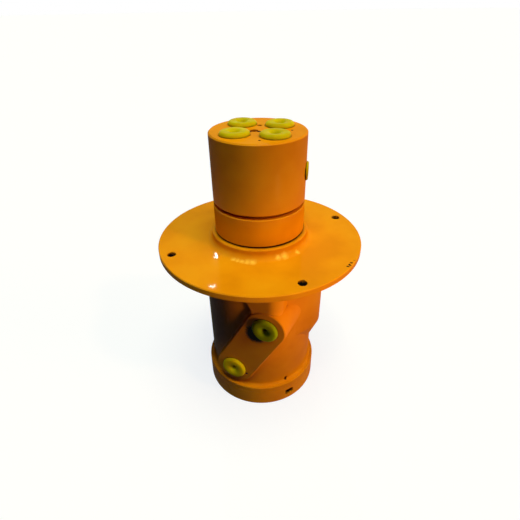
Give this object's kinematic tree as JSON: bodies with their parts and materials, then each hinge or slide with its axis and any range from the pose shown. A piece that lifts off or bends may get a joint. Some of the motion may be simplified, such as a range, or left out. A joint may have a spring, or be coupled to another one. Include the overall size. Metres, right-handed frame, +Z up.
{
  "type": "hydraulic rotary union",
  "caption": "Flanged housing with a round barrel and slanted port pads; a ported stem turns in it and carries oil circuits across.",
  "frame": {"origin": "centre of the flange's underside", "axes": "+Z up along the stem's axis, -Y out of the slanted front port pad, +X to the side of the drain port"},
  "size_m": [0.266, 0.266, 0.3897],
  "materials": {
    "orange_paint": "gloss paint",
    "plug_steel": "black oxide",
    "machined_steel": "machined",
    "screw_steel": "black oxide",
    "bearing_plastic": "matt",
    "bearing_bronze": "machined",
    "wiper_rubber": "matt",
    "seal_rubber": "matt",
    "slipper_plastic": "matt",
    "plug_plastic": "moulded"
  },
  "bodies": {
    "housing": {"housing": "orange_paint", "bottom_cover": "orange_paint", "cover_seal": "seal_rubber", "cover_screws": "screw_steel", "upper_thrust_ring": "bearing_plastic", "lower_thrust_ring": "bearing_bronze", "wiper_ring": "wiper_rubber", "slipper_ring_1": "slipper_plastic", "slipper_ring_2": "slipper_plastic", "slipper_ring_3": "slipper_plastic", "slipper_ring_4": "slipper_plastic", "slipper_ring_5": "slipper_plastic", "slipper_ring_6": "slipper_plastic", "slipper_ring_7": "slipper_plastic", "energiser_ring_1": "seal_rubber", "energiser_ring_2": "seal_rubber", "energiser_ring_3": "seal_rubber", "energiser_ring_4": "seal_rubber", "energiser_ring_5": "seal_rubber", "energiser_ring_6": "seal_rubber", "energiser_ring_7": "seal_rubber"},
    "stem": {"stem": "orange_paint", "closure_plug": "plug_steel", "retaining_plate": "machined_steel", "plate_screws": "screw_steel"},
    "top_port_plug_1": {"top_port_plug_1": "plug_plastic"},
    "top_port_plug_2": {"top_port_plug_2": "plug_plastic"},
    "top_port_plug_3": {"top_port_plug_3": "plug_plastic"},
    "top_port_plug_4": {"top_port_plug_4": "plug_plastic"},
    "stem_drain_plug": {"stem_drain_plug": "plug_plastic"},
    "front_upper_plug": {"front_upper_plug": "plug_plastic"},
    "front_lower_plug": {"front_lower_plug": "plug_plastic"},
    "back_upper_plug": {"back_upper_plug": "plug_plastic"},
    "back_lower_plug": {"back_lower_plug": "plug_plastic"},
    "body_drain_plug": {"body_drain_plug": "plug_plastic"}
  },
  "joints": [
    {"name": "stem_turn", "type": "hinge", "parent": "housing", "child": "stem", "pos_m": [0, 0, 0], "axis": [0, 0, 1], "continuous": true},
    {"name": "top_port_plug_1_pull", "type": "slide", "parent": "stem", "child": "top_port_plug_1", "axis": [0, 0, 1], "range_m": [0, 0.03]},
    {"name": "top_port_plug_2_pull", "type": "slide", "parent": "stem", "child": "top_port_plug_2", "axis": [0, 0, 1], "range_m": [0, 0.03]},
    {"name": "top_port_plug_3_pull", "type": "slide", "parent": "stem", "child": "top_port_plug_3", "axis": [0, 0, 1], "range_m": [0, 0.03]},
    {"name": "top_port_plug_4_pull", "type": "slide", "parent": "stem", "child": "top_port_plug_4", "axis": [0, 0, 1], "range_m": [0, 0.03]},
    {"name": "stem_drain_plug_pull", "type": "slide", "parent": "stem", "child": "stem_drain_plug", "axis": [0.9759, 0.2181, 0], "range_m": [0, 0.02]},
    {"name": "front_upper_plug_pull", "type": "slide", "parent": "housing", "child": "front_upper_plug", "axis": [0, -1, 0], "range_m": [0, 0.03]},
    {"name": "front_lower_plug_pull", "type": "slide", "parent": "housing", "child": "front_lower_plug", "axis": [0, -1, 0], "range_m": [0, 0.03]},
    {"name": "back_upper_plug_pull", "type": "slide", "parent": "housing", "child": "back_upper_plug", "axis": [0, 1, 0], "range_m": [0, 0.03]},
    {"name": "back_lower_plug_pull", "type": "slide", "parent": "housing", "child": "back_lower_plug", "axis": [0, 1, 0], "range_m": [0, 0.03]},
    {"name": "body_drain_plug_pull", "type": "slide", "parent": "housing", "child": "body_drain_plug", "axis": [0.9848, 0.1736, 0], "range_m": [0, 0.02]}
  ]
}
